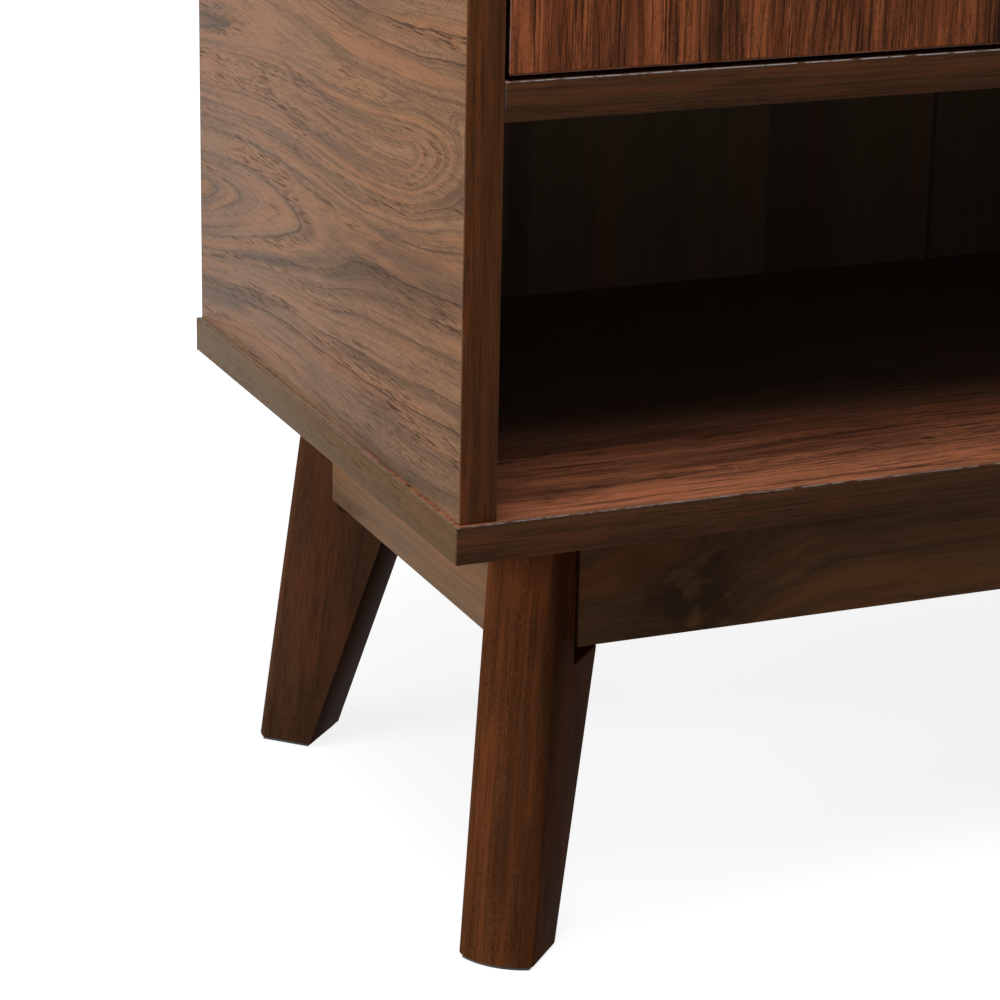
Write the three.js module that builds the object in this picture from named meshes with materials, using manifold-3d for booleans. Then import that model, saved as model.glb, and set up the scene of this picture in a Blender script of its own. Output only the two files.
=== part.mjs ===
// Nightstand with two drawers over an open compartment, on four splayed corner legs.
// Millimetres, +Z up, drawers facing -Y. The origin is on the floor, midway between the two
// sides and midway between the knobs' faces and the cabinet's rear edge.
import * as THREE from 'three';
import { mergeVertices } from 'three/addons/utils/BufferGeometryUtils.js';
import Module from 'manifold-3d';

const wasm = await Module();
wasm.setup();

// ---------------------------------------------------------------- driving dimensions

// cabinet
const cabinetWidth = 500;        // top and base panels, side to side
const cabinetDepth = 310;        // top and base panels, front to back
const cabinetHeight = 600;       // floor to the top face
const boardThickness = 15;       // faced chipboard of the carcass
const panelOverhang = 2;         // top and base past the sides, all round
const openingHeight = 151;       // clear height of the open compartment
const backThickness = 3;         // fibreboard back
const backSetIn = 8.5;           // back panel's rear face to the sides' rear edge
const grooveDepth = 6;           // every groove that holds a thin panel
const grooveClearance = 0.3;     // each side of a thin panel in its groove

// under-frame
const legHeight = 178.5;         // leg without its glide
const glideThickness = 1.5;
const glideInset = 1.5;          // glide's edge inside the foot's edge
const legWidth = 32;             // across the flanks
const legDepthTop = 61;          // along the corner's diagonal, at the base panel
const legDepthFoot = 25;         // the same at the floor
const legCrown = 4.4;            // rise of the curved outer face
const legArris = 4;              // softened edge between outer face and flank
const legInsetTop = 61.8;        // base panel's corner to the outer face, at the top
const legInsetFoot = 37.1;       // the same at the floor: the leg splays outwards
const legSideShift = 4;          // leg's middle plane to the corner's diagonal
const apronHeight = 57;
const apronThickness = 15;
const apronInset = 42.4;         // base panel's edge to every apron's outer face
const notchDrop = 6;             // notch floor under the aprons' lower edge
const longApronGap = 2.6;        // front and rear aprons' ends to the notch wall
const notchWall = 67.5;          // base panel's side edge to the notch wall
const blockLeg = 75;             // corner block along each apron
const blockHeight = 40;
const legBoltRadius = 3;
const legBoltInLeg = 22;
const legBoltDrop = 20;          // bolt axis under the base panel
const boltHeadAcrossFlats = 10;
const boltHeadHeight = 4;

// drawers
const drawerSideGap = 1.5;       // front to side panel
const drawerEndGap = 2;          // front to the shelf below and the top above
const drawerBetweenGap = 3;      // front to front
const drawerFrontThickness = 15;
const drawerBoxBoard = 12;       // box sides and back
const drawerBoxRaise = 12;       // box's lower edge over the front's lower edge
const drawerBoxDrop = 16.5;      // box's upper edge under the front's upper edge
const drawerRearGap = 14.5;      // box's rear edge to the back panel
const drawerBottomRaise = 10;    // bottom panel over the box's lower edge
const drawerBottomThickness = 3;
const knobRadius = 15;
const knobNeckRadius = 7;
const knobLength = 22;
const knobScrewRadius = 2;
const knobScrewInKnob = 12;
const knobScrewHeadRadius = 4.5;
const knobScrewHeadHeight = 2.4;

// three-part drawer runners
const runnerThickness = 12.7;    // side panel to drawer box
const runnerHeight = 35;
const runnerSheet = 1.2;
const runnerBallGap = 0.4;       // between nested channels
const runnerSetBack = 2;         // runner's front end behind the drawer front
const runnerShort = 13;          // runner's rear end in front of the box's rear edge

// shelf fittings
const camRadius = 7.5;
const camHeight = 11.5;
const camFromEnd = 34;           // cam's centre to the shelf's end
const camFromEdge = 50;          // cam's centre to the shelf's front and rear edges
const camPinRadius = 3.5;
const camPinInSide = 10;

const looseFit = 0.3;            // between pieces that are cut to each other

// ---------------------------------------------------------------- levels and places that follow

const halfWidth = cabinetWidth / 2;
const halfDepth = cabinetDepth / 2;
const baseBottom = legHeight + glideThickness;
const baseTop = baseBottom + boardThickness;
const shelfBottom = baseTop + openingHeight;
const shelfTop = shelfBottom + boardThickness;
const topBottom = cabinetHeight - boardThickness;
const sideOuter = halfWidth - panelOverhang;
const sideInner = sideOuter - boardThickness;
const sideFront = -halfDepth + panelOverhang;
const sideRear = halfDepth - panelOverhang;
const backRear = sideRear - backSetIn;
const backFront = backRear - backThickness;
const panelInGroove = grooveDepth - looseFit;

// ---------------------------------------------------------------- materials

const finish = (color, roughness, metalness = 0) =>
  new THREE.MeshStandardMaterial({ color, roughness, metalness });
const panelWood = () => finish(0x5a3a26, 0.55);
const legWood = () => finish(0x46291a, 0.5);
const rawWood = () => finish(0xc8a878, 0.75);
const boxBoard = () => finish(0xd9d2c4, 0.6);
const zinc = () => finish(0xb9bcc0, 0.35, 1);
const felt = () => finish(0x2a2c30, 0.95);

// ---------------------------------------------------------------- geometry helpers

// Box between two corners.
function box(x0, x1, y0, y1, z0, z1) {
  const geometry = new THREE.BoxGeometry(x1 - x0, y1 - y0, z1 - z0);
  return geometry.translate((x0 + x1) / 2, (y0 + y1) / 2, (z0 + z1) / 2);
}

// Upright prism over an outline of [x, y] corners.
function prism(corners, z0, z1) {
  const shape = new THREE.Shape(corners.map(([x, y]) => new THREE.Vector2(x, y)));
  const geometry = new THREE.ExtrudeGeometry(shape, { depth: z1 - z0, bevelEnabled: false });
  return geometry.translate(0, 0, z0);
}

// Cylinder of a given length whose axis starts at a point and runs along a direction.
function rod(radius, start, direction, length, segments = 32) {
  const geometry = new THREE.CylinderGeometry(radius, radius, length, segments);
  const axis = new THREE.Vector3(...direction).normalize();
  const turn = new THREE.Quaternion().setFromUnitVectors(new THREE.Vector3(0, 1, 0), axis);
  geometry.translate(0, length / 2, 0).applyQuaternion(turn);
  return geometry.translate(...start);
}

// Copy of a geometry with its positions alone, each shared by the faces that meet there.
function welded(geometry) {
  const bare = geometry.clone();
  bare.deleteAttribute('normal');
  bare.deleteAttribute('uv');
  return mergeVertices(bare, 1e-4);
}

function toSolid(geometry) {
  const merged = welded(geometry);
  const mesh = new wasm.Mesh({
    numProp: 3,
    vertProperties: new Float32Array(merged.attributes.position.array),
    triVerts: new Uint32Array(merged.index.array),
  });
  return new wasm.Manifold(mesh);
}

function fromSolid(solid) {
  const { vertProperties, triVerts } = solid.getMesh();
  const geometry = new THREE.BufferGeometry();
  geometry.setAttribute('position', new THREE.BufferAttribute(vertProperties, 3));
  geometry.setIndex(new THREE.BufferAttribute(triVerts, 1));
  return geometry;
}

function cut(geometry, ...tools) {
  const solid = tools.reduce((rest, tool) => rest.subtract(toSolid(tool)), toSolid(geometry));
  return fromSolid(solid);
}

function join(geometry, ...others) {
  const solid = others.reduce((sum, other) => sum.add(toSolid(other)), toSolid(geometry));
  return fromSolid(solid);
}

// Copy of a geometry mirrored in X, in Y or in both, with its faces kept pointing out.
function mirrored(geometry, signX, signY) {
  const copy = welded(geometry);
  copy.scale(signX, signY, 1);
  if (signX * signY < 0) {
    const index = copy.index.array;
    for (let i = 0; i < index.length; i += 3) {
      [index[i], index[i + 1]] = [index[i + 1], index[i]];
    }
  }
  return copy;
}

const nightstand = new THREE.Group();

function addPart(name, geometry, material, parent = nightstand) {
  const mesh = new THREE.Mesh(geometry, material);
  mesh.name = name;
  parent.add(mesh);
  return mesh;
}

// ---------------------------------------------------------------- carcass

function backGroove(x0, x1, z0, z1) {
  return box(x0, x1, backFront - grooveClearance, backRear + grooveClearance, z0, z1);
}

function camPlaces() {
  const places = [];
  for (const [endName, sideSign] of [['left', -1], ['right', 1]]) {
    for (const [edgeName, y] of [['front', sideFront + camFromEdge], ['rear', backFront - camFromEdge]]) {
      places.push({ name: `${edgeName}_${endName}`, sideSign, y });
    }
  }
  return places;
}

const camPinHeight = shelfBottom + boardThickness / 2;
const camPinBore = camPinRadius + looseFit;

// Pin bore from inside the side panel to the cam.
function camPinHole({ sideSign, y }) {
  const start = sideSign * (sideInner + camPinInSide + looseFit);
  return rod(camPinBore, [start, y, camPinHeight], [-sideSign, 0, 0], camPinInSide + camFromEnd);
}

function sidePanel(sideSign) {
  const [x0, x1] = sideSign < 0 ? [-sideOuter, -sideInner] : [sideInner, sideOuter];
  const inner = sideSign * sideInner;
  const grooveEnd = inner + sideSign * grooveDepth;
  const groove = backGroove(Math.min(inner, grooveEnd) - (sideSign > 0 ? 1 : 0),
    Math.max(inner, grooveEnd) + (sideSign < 0 ? 1 : 0), baseTop - 1, topBottom + 1);
  const bores = camPlaces().filter((place) => place.sideSign === sideSign).map(camPinHole);
  return cut(box(x0, x1, sideFront, sideRear, baseTop, topBottom), groove, ...bores);
}

function shelf() {
  const blank = box(-sideInner, sideInner, sideFront, backFront - looseFit, shelfBottom, shelfTop);
  const tools = camPlaces().flatMap((place) => {
    const x = place.sideSign * (sideInner - camFromEnd);
    const pocket = rod(camRadius + looseFit, [x, place.y, shelfBottom - 1], [0, 0, 1],
      camHeight + looseFit + 1);
    return [camPinHole(place), pocket];
  });
  return cut(blank, ...tools);
}

function buildCarcass() {
  const grooveHalf = sideInner + grooveDepth;
  const board = (z0, z1) => box(-halfWidth, halfWidth, -halfDepth, halfDepth, z0, z1);
  const topGroove = backGroove(-grooveHalf, grooveHalf, topBottom - 1, topBottom + grooveDepth);
  const baseGroove = backGroove(-grooveHalf, grooveHalf, baseTop - grooveDepth, baseTop + 1);
  addPart('top_panel', cut(board(topBottom, cabinetHeight), topGroove), panelWood());
  addPart('base_panel', cut(board(baseBottom, baseTop), baseGroove), panelWood());
  addPart('left_side_panel', sidePanel(-1), panelWood());
  addPart('right_side_panel', sidePanel(1), panelWood());
  addPart('drawer_shelf', shelf(), panelWood());
  const backHalf = sideInner + panelInGroove;
  addPart('back_panel', box(-backHalf, backHalf, backFront, backRear,
    baseTop - panelInGroove, topBottom + panelInGroove), panelWood());

  for (const place of camPlaces()) {
    const x = place.sideSign * (sideInner - camFromEnd);
    const cam = rod(camRadius, [x, place.y, shelfBottom], [0, 0, 1], camHeight);
    addPart(`cam_${place.name}`, cam, zinc());
    const pinStart = place.sideSign * (sideInner + camPinInSide);
    const pinLength = camPinInSide + camFromEnd - camRadius - looseFit;
    const pin = rod(camPinRadius, [pinStart, place.y, camPinHeight], [-place.sideSign, 0, 0], pinLength);
    addPart(`cam_pin_${place.name}`, pin, zinc());
  }
}

// ---------------------------------------------------------------- legs and under-frame

// The under-frame is laid out at the front left corner of the base panel: a runs from the
// panel's side edge inwards, b from its front edge inwards. The other corners mirror it.
const corners = [
  { name: 'front_left', signX: 1, signY: 1 },
  { name: 'front_right', signX: -1, signY: 1 },
  { name: 'rear_left', signX: 1, signY: -1 },
  { name: 'rear_right', signX: -1, signY: -1 },
];

const diagonal = Math.SQRT1_2;
const planeOffset = legSideShift * Math.SQRT2;          // a - b on the leg's middle plane
const apronInner = apronInset + apronThickness;
const notchWallFront = notchWall - planeOffset;         // base panel's front edge to the other wall
const apronBottom = baseBottom - apronHeight;
const notchFloor = apronBottom - notchDrop;
const longApronEnd = notchWall + longApronGap;
const shortApronEnd = notchWallFront + looseFit;

// Point of the leg's own frame, across and outwards, in corner places.
function cornerPoint(across, outwards) {
  const a = planeOffset / 2 + (-across - outwards) * diagonal;
  const b = -planeOffset / 2 + (across - outwards) * diagonal;
  return [a, b];
}

// The curved outer face is an arc that starts at the flanks, at outwards = 0, and rises by the crown.
const halfLeg = legWidth / 2;
const crownRadius = (halfLeg ** 2 + legCrown ** 2) / (2 * legCrown);
const crownAt = (across) => legCrown - crownRadius + Math.sqrt(crownRadius ** 2 - across ** 2);

// Points of the arc from one end to the other, both ends included.
function crownPoints(half, steps) {
  const acrossAt = (i) => half - (2 * half * i) / steps;
  return Array.from({ length: steps + 1 }, (_, i) => [acrossAt(i), crownAt(acrossAt(i))]);
}

// Section of the leg at the base panel: curved outer face, softened arrises, flat flanks and inner face.
function legOutline() {
  const arris = new THREE.QuadraticBezierCurve(new THREE.Vector2(halfLeg, -legArris),
    new THREE.Vector2(halfLeg, 0), new THREE.Vector2(halfLeg - legArris, crownAt(halfLeg - legArris)));
  const arrisPoints = arris.getPoints(6).map((p) => [p.x, p.y]);
  const otherArris = arrisPoints.map(([across, outwards]) => [-across, outwards]).reverse();
  const crown = crownPoints(halfLeg - legArris, 10).slice(1, -1);
  return [[-halfLeg, -legDepthTop], [halfLeg, -legDepthTop], ...arrisPoints, ...crown, ...otherArris];
}

// Depth and place of the section at a height: the leg tapers and splays towards the floor.
function legAt(height) {
  const share = (height - glideThickness) / legHeight;
  return {
    inset: THREE.MathUtils.lerp(legInsetFoot, legInsetTop, share),
    depth: THREE.MathUtils.lerp(legDepthFoot, legDepthTop, share),
  };
}

// The leg before its notches: its section, leaned and tapered from the base panel to the floor.
function legBlank() {
  const geometry = prism(legOutline(), glideThickness, baseBottom);
  const position = geometry.attributes.position;
  for (let i = 0; i < position.count; i += 1) {
    const { inset, depth } = legAt(position.getZ(i));
    const outwards = position.getY(i);
    const tapered = outwards > 0 ? outwards : (outwards * depth) / legDepthTop;
    const [a, b] = cornerPoint(position.getX(i), tapered - inset);
    position.setXY(i, a, b);
  }
  return geometry;
}

const boltHeight = baseBottom - legBoltDrop;
const boltBore = legBoltRadius + looseFit;
const notchSum = notchWall + notchWallFront;            // a + b at the notch's corner
const blockSum = 2 * apronInner + blockLeg;             // a + b on the block's inner face
const boltHeadStart = cornerPoint(0, -(blockSum + looseFit) * diagonal);
const boltLength = (blockSum - notchSum) * diagonal + legBoltInLeg;
const towardsCorner = [-1, -1, 0];

function legGeometry() {
  const reach = legDepthTop + legInsetTop;
  const sideNotch = box(notchWall, notchWall + reach, 0, notchWall + reach, notchFloor, baseBottom + 1);
  const frontNotch = box(0, notchWall + reach, notchWallFront, notchWall + reach,
    notchFloor, baseBottom + 1);
  const bore = rod(boltBore, [...boltHeadStart, boltHeight], towardsCorner, boltLength + 2 * looseFit);
  return cut(legBlank(), sideNotch, frontNotch, bore);
}

function glideGeometry() {
  const half = halfLeg - glideInset;
  const outline = [
    [-half, glideInset - legDepthFoot],
    [half, glideInset - legDepthFoot],
    ...crownPoints(half, 8).map(([across, outwards]) => [across, outwards - glideInset]),
  ];
  const placed = outline.map(([across, outwards]) => cornerPoint(across, outwards - legInsetFoot));
  return prism(placed, 0, glideThickness);
}

function blockGeometry() {
  const near = apronInner + blockLeg;
  const outline = [
    [notchWall + looseFit, apronInner],
    [near, apronInner],
    [apronInner, near],
    [apronInner, notchWallFront + looseFit],
    [notchWall + looseFit, notchWallFront + looseFit],
  ];
  const blank = prism(outline, baseBottom - blockHeight, baseBottom);
  const bore = rod(boltBore, [...boltHeadStart, boltHeight], towardsCorner, boltLength);
  return cut(blank, bore);
}

function boltGeometry() {
  const shank = rod(legBoltRadius, [...boltHeadStart, boltHeight], towardsCorner, boltLength, 24);
  const headRadius = boltHeadAcrossFlats / 2 / Math.cos(Math.PI / 6);
  const head = rod(headRadius, [...boltHeadStart, boltHeight], [1, 1, 0], boltHeadHeight, 6);
  const [a, b] = boltHeadStart;
  const neck = rod(legBoltRadius, [a + diagonal, b + diagonal, boltHeight], towardsCorner, 2, 24);
  return join(shank, head, neck);
}

function buildUnderFrame() {
  const pieces = [
    ['leg', legGeometry(), legWood],
    ['foot_glide', glideGeometry(), felt],
    ['corner_block', blockGeometry(), rawWood],
    ['leg_bolt', boltGeometry(), zinc],
  ];
  for (const corner of corners) {
    for (const [kind, geometry, material] of pieces) {
      const name = kind === 'leg' ? `${corner.name}_leg` : `${kind}_${corner.name}`;
      const mesh = addPart(name, mirrored(geometry, corner.signX, corner.signY), material());
      mesh.position.set(-corner.signX * halfWidth, -corner.signY * halfDepth, 0);
    }
  }

  const longEnd = halfWidth - longApronEnd;
  const outerY = halfDepth - apronInset;
  const innerY = halfDepth - apronInner;
  addPart('front_apron', box(-longEnd, longEnd, -outerY, -innerY, apronBottom, baseBottom), legWood());
  addPart('rear_apron', box(-longEnd, longEnd, innerY, outerY, apronBottom, baseBottom), legWood());

  const shortEnd = halfDepth - shortApronEnd;
  const outerX = halfWidth - apronInset;
  const innerX = halfWidth - apronInner;
  addPart('left_apron', box(-outerX, -innerX, -shortEnd, shortEnd, apronBottom, baseBottom), legWood());
  addPart('right_apron', box(innerX, outerX, -shortEnd, shortEnd, apronBottom, baseBottom), legWood());
}

// ---------------------------------------------------------------- drawers and runners

const drawerZone = topBottom - shelfTop;
const drawerFrontHeight = (drawerZone - 2 * drawerEndGap - drawerBetweenGap) / 2;
const frontHalf = sideInner - drawerSideGap;
const boxHalf = sideInner - runnerThickness;
const boxInnerHalf = boxHalf - drawerBoxBoard;
const frontInner = sideFront + drawerFrontThickness;
const boxRear = backFront - drawerRearGap;
const drawerBoxHeight = drawerFrontHeight - drawerBoxRaise - drawerBoxDrop;
const runnerFront = frontInner + runnerSetBack;
const runnerLength = boxRear - runnerShort - runnerFront;

function knobGeometry() {
  const bore = knobScrewRadius + looseFit;
  const boreEnd = knobScrewInKnob + 1;
  const rim = knobLength * 0.62;
  const profile = [
    [bore, 0], [knobNeckRadius + 1, 0], [knobNeckRadius, 3], [knobNeckRadius, rim - 5],
    [knobRadius - 4, rim - 2], [knobRadius - 1, rim], [knobRadius, rim + 2.5],
    [knobRadius - 1.2, knobLength - 3], [knobRadius - 4, knobLength - 1],
    [knobRadius * 0.45, knobLength - 0.2], [0, knobLength], [0, boreEnd], [bore, boreEnd], [bore, 0],
  ];
  const lathe = new THREE.LatheGeometry(profile.map(([r, y]) => new THREE.Vector2(r, y)), 40);
  return lathe.rotateX(Math.PI);
}

function knobScrewGeometry() {
  const length = drawerFrontThickness + knobScrewInKnob;
  const r = knobScrewRadius;
  const headR = knobScrewHeadRadius;
  const profile = [
    [0, 0], [headR - 1, 0], [headR, 1], [headR, knobScrewHeadHeight],
    [r, knobScrewHeadHeight], [r, knobScrewHeadHeight + length], [0, knobScrewHeadHeight + length],
  ];
  const lathe = new THREE.LatheGeometry(profile.map(([x, y]) => new THREE.Vector2(x, y)), 24);
  return lathe.rotateX(Math.PI);
}

function drawerFront(z0) {
  const boxBottom = z0 + drawerBoxRaise;
  const panelBottom = boxBottom + drawerBottomRaise;
  const grooveHalf = boxInnerHalf + grooveDepth;
  const groove = box(-grooveHalf, grooveHalf, frontInner - grooveDepth, frontInner + 1,
    panelBottom - grooveClearance, panelBottom + drawerBottomThickness + grooveClearance);
  const middle = z0 + drawerFrontHeight / 2;
  const bore = rod(knobScrewRadius + looseFit, [0, sideFront - 1, middle], [0, 1, 0],
    drawerFrontThickness + 2);
  return cut(box(-frontHalf, frontHalf, sideFront, frontInner, z0, z0 + drawerFrontHeight), groove, bore);
}

function drawerSide(sideSign, boxBottom) {
  const panelBottom = boxBottom + drawerBottomRaise;
  const [x0, x1] = sideSign < 0 ? [-boxHalf, -boxInnerHalf] : [boxInnerHalf, boxHalf];
  const [g0, g1] = sideSign < 0
    ? [-boxInnerHalf - grooveDepth, -boxInnerHalf + 1]
    : [boxInnerHalf - 1, boxInnerHalf + grooveDepth];
  const groove = box(g0, g1, frontInner - 1, boxRear + 1,
    panelBottom - grooveClearance, panelBottom + drawerBottomThickness + grooveClearance);
  return cut(box(x0, x1, frontInner, boxRear, boxBottom, boxBottom + drawerBoxHeight), groove);
}

// Channel along Y: web at x = 0, open towards +X, centred on z = 0.
function channel(webX, lipX, halfHeight, y0, length) {
  const outward = Math.sign(lipX - webX);
  const outline = [
    [webX, -halfHeight],
    [lipX, -halfHeight],
    [lipX, -halfHeight + runnerSheet],
    [webX + outward * runnerSheet, -halfHeight + runnerSheet],
    [webX + outward * runnerSheet, halfHeight - runnerSheet],
    [lipX, halfHeight - runnerSheet],
    [lipX, halfHeight],
    [webX, halfHeight],
  ];
  if (outward < 0) outline.reverse();
  const geometry = prism(outline, 0, length);
  // the outline's x stays, its y becomes z, and the length runs along +Y
  geometry.rotateX(Math.PI / 2);
  return geometry.translate(0, y0 + length, 0);
}

function buildRunners(level, height) {
  const outerHalf = runnerHeight / 2;
  const nest = runnerSheet + runnerBallGap;
  const lip = runnerThickness - nest;
  const members = [
    ['cabinet_runner', channel(0, lip, outerHalf, runnerFront, runnerLength)],
    ['middle_runner', channel(nest, lip, outerHalf - nest, runnerFront, runnerLength)],
    ['drawer_runner', channel(runnerThickness, 2 * nest, outerHalf - 2 * nest, runnerFront, runnerLength)],
  ];
  for (const [kind, geometry] of members) {
    for (const [side, signX] of [['left', 1], ['right', -1]]) {
      const mesh = addPart(`${level}_${side}_${kind}`, mirrored(geometry, signX, 1), zinc());
      mesh.position.set(-signX * sideInner, 0, height);
    }
  }
}

function buildDrawer(level, z0) {
  const boxBottom = z0 + drawerBoxRaise;
  const boxTop = boxBottom + drawerBoxHeight;
  const panelBottom = boxBottom + drawerBottomRaise;
  const panelTop = panelBottom + drawerBottomThickness;
  const panelHalf = boxInnerHalf + panelInGroove;
  const middle = z0 + drawerFrontHeight / 2;
  addPart(`${level}_drawer_front`, drawerFront(z0), panelWood());
  addPart(`${level}_drawer_left_side`, drawerSide(-1, boxBottom), boxBoard());
  addPart(`${level}_drawer_right_side`, drawerSide(1, boxBottom), boxBoard());
  addPart(`${level}_drawer_back`, box(-boxInnerHalf, boxInnerHalf, boxRear - drawerBoxBoard, boxRear,
    panelTop + grooveClearance, boxTop), boxBoard());
  addPart(`${level}_drawer_bottom`, box(-panelHalf, panelHalf, frontInner - panelInGroove, boxRear,
    panelBottom, panelTop), boxBoard());
  const knob = addPart(`${level}_knob`, knobGeometry(), legWood());
  knob.position.set(0, sideFront, middle);
  const screw = addPart(`${level}_knob_screw`, knobScrewGeometry(), zinc());
  screw.position.set(0, frontInner + knobScrewHeadHeight, middle);
  buildRunners(level, boxBottom + drawerBoxHeight / 2);
}

// The knobs stand out of the front, so the cabinet sits back by half of their reach.
nightstand.position.y = (knobLength - panelOverhang) / 2;

buildCarcass();
buildUnderFrame();
buildDrawer('lower', shelfTop + drawerEndGap);
buildDrawer('upper', shelfTop + drawerEndGap + drawerFrontHeight + drawerBetweenGap);

export default nightstand;
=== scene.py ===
import math
from contextlib import contextmanager

import bmesh
import bpy
from mathutils import Matrix, Vector


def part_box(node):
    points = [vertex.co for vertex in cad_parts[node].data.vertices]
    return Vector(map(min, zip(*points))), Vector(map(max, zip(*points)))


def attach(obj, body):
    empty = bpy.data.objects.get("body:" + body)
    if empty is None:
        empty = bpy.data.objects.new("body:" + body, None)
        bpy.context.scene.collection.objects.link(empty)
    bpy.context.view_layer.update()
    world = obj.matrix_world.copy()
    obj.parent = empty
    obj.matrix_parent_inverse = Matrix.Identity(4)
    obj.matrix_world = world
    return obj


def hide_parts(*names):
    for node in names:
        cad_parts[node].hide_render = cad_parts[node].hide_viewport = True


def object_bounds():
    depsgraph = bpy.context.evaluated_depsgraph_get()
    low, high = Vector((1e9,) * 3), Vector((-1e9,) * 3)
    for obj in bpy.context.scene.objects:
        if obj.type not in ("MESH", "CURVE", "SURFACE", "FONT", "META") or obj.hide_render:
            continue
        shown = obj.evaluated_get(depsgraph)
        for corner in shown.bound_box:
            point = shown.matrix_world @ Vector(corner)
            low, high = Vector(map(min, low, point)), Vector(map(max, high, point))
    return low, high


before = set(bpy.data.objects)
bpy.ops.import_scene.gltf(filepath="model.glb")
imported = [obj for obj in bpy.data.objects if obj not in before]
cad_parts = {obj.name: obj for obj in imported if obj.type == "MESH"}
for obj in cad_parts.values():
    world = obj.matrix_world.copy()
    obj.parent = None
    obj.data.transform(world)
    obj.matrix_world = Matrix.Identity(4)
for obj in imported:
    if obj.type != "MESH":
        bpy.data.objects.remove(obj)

solid_low, solid_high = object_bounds()

BAND = 0.0008            # edge band on a board's narrow faces

# how far each kind of edge is softened
FOIL_ARRIS = 0.00035     # a faced board
BAND_ARRIS = 0.0004      # an edge band
LEG_ARRIS = 0.0009
APRON_ARRIS = 0.0007
BLOCK_ARRIS = 0.0010
BOX_ARRIS = 0.0008       # drawer box boards
THIN_ARRIS = 0.0003      # drawer bottoms, bolts and glides
SHEET_ARRIS = 0.0002     # pressed steel

SHARP = math.radians(35)       # an edge that turns more than this is softened
COPLANAR = math.radians(0.5)   # faces that turn less than this become one
TOUCH = 1e-5                   # corners closer than this are one
BORE_FACET = 0.010             # edges of a corner block's bores are shorter than this
THREAD_FACET = 0.003           # edges round a bolt's shank are shorter than this
LEG_LEAN = 0.14                # the grain of a leg leans outwards by this much for each metre

SURROUND_LEVEL = 0.09          # level of the surround's own light

X, Y, Z = Vector((1, 0, 0)), Vector((0, 1, 0)), Vector((0, 0, 1))


# ---------------------------------------------------------------- bench work

def take_up(piece):
    bpy.ops.object.select_all(action="DESELECT")
    piece.select_set(True)
    bpy.context.view_layer.objects.active = piece


@contextmanager
def bench(piece):
    """The piece alone in edit mode."""
    take_up(piece)
    bpy.ops.object.mode_set(mode="EDIT")
    yield
    bpy.ops.object.mode_set(mode="OBJECT")


def pick(piece, kind, wanted):
    """Selects the corners, edges or faces of the piece on the bench that are wanted."""
    bpy.ops.mesh.select_mode(type=kind)
    bpy.ops.mesh.select_all(action="DESELECT")
    mesh = bmesh.from_edit_mesh(piece.data)
    mesh.normal_update()
    for part in {"VERT": mesh.verts, "EDGE": mesh.edges, "FACE": mesh.faces}[kind]:
        if wanted(part):
            part.select_set(True)
    bmesh.update_edit_mesh(piece.data)


def is_sharp(edge):
    return len(edge.link_faces) == 2 and edge.calc_face_angle() > SHARP


def lies_on(axis, limit):
    """True for a part whose corners all lie on one plane across an axis."""
    def wanted(part):
        corners = [part] if isinstance(part, bmesh.types.BMVert) else part.verts
        return all(abs(corner.co[axis] - limit) < TOUCH for corner in corners)
    return wanted


def outer_edge(low, high):
    """True for an edge of the box from low to high, and not for one in a groove or bore."""
    planes = [lies_on(axis, limit) for axis in range(3) for limit in (low[axis], high[axis])]
    return lambda edge: sum(plane(edge) for plane in planes) >= 2


def soften(piece, width, wanted=is_sharp):
    """Rounds the wanted edges, and marks the new faces for the finish to pale, as wear and as a
    painted highlight.
    """
    piece.data.materials.clear()
    for _ in ("faces", "arrises"):
        piece.data.materials.append(None)
    with bench(piece):
        pick(piece, "EDGE", wanted)
        bpy.ops.mesh.bevel(offset=width, segments=2, profile=0.5, affect="EDGES",
                           clamp_overlap=True, material=1)
    mark = piece.data.attributes.get("arris")
    if mark is None:
        mark = piece.data.attributes.new("arris", "FLOAT", "FACE")
    for face in piece.data.polygons:
        if face.material_index == 1:
            mark.data[face.index].value = 1.0
            face.material_index = 0


def smooth(piece, angle=30):
    take_up(piece)
    bpy.ops.object.shade_smooth_by_angle(angle=math.radians(angle))


def copy_of(node, name):
    """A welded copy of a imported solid, ready for the bench."""
    piece = bpy.data.objects.new(name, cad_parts[node].data.copy())
    piece.data.name = name
    bpy.context.scene.collection.objects.link(piece)
    with bench(piece):
        bpy.ops.mesh.customdata_custom_splitnormals_clear()
        bpy.ops.mesh.select_all(action="SELECT")
        bpy.ops.mesh.remove_doubles(threshold=TOUCH)
        bpy.ops.mesh.dissolve_limited(angle_limit=COPLANAR)
    return piece


def block(name, low, high):
    """A squared blank between two corners."""
    bpy.ops.object.select_all(action="DESELECT")
    bpy.ops.mesh.primitive_cube_add(size=1)
    piece = bpy.context.object
    piece.name = piece.data.name = name
    with bench(piece):
        bpy.ops.mesh.select_all(action="SELECT")
        bpy.ops.transform.resize(value=high - low)
        bpy.ops.transform.translate(value=(low + high) / 2)
    return piece


def settle(piece):
    """Puts the piece's place into its mesh."""
    take_up(piece)
    bpy.ops.object.transform_apply(location=True, rotation=True, scale=True)


def cut_away(piece, cutter):
    """Takes the cutter's shape out of the piece; the cutter's own arms may cross."""
    take_up(piece)
    modifier = piece.modifiers.new("cut", "BOOLEAN")
    modifier.operation = "DIFFERENCE"
    modifier.solver = "EXACT"
    modifier.use_self = True
    modifier.object = cutter
    bpy.ops.object.modifier_apply(modifier=modifier.name)
    bpy.data.objects.remove(cutter, do_unlink=True)


def hand_over(piece, finish, body, slot, *nodes):
    """Gives a finished piece its finish and body, and the solids that it stands for; the slot is
    not used.
    """
    piece.data.materials.clear()
    piece.data.materials.append(finish)
    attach(piece, body)
    if nodes:
        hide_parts(*nodes)


# ---------------------------------------------------------------- shader wiring

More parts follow.
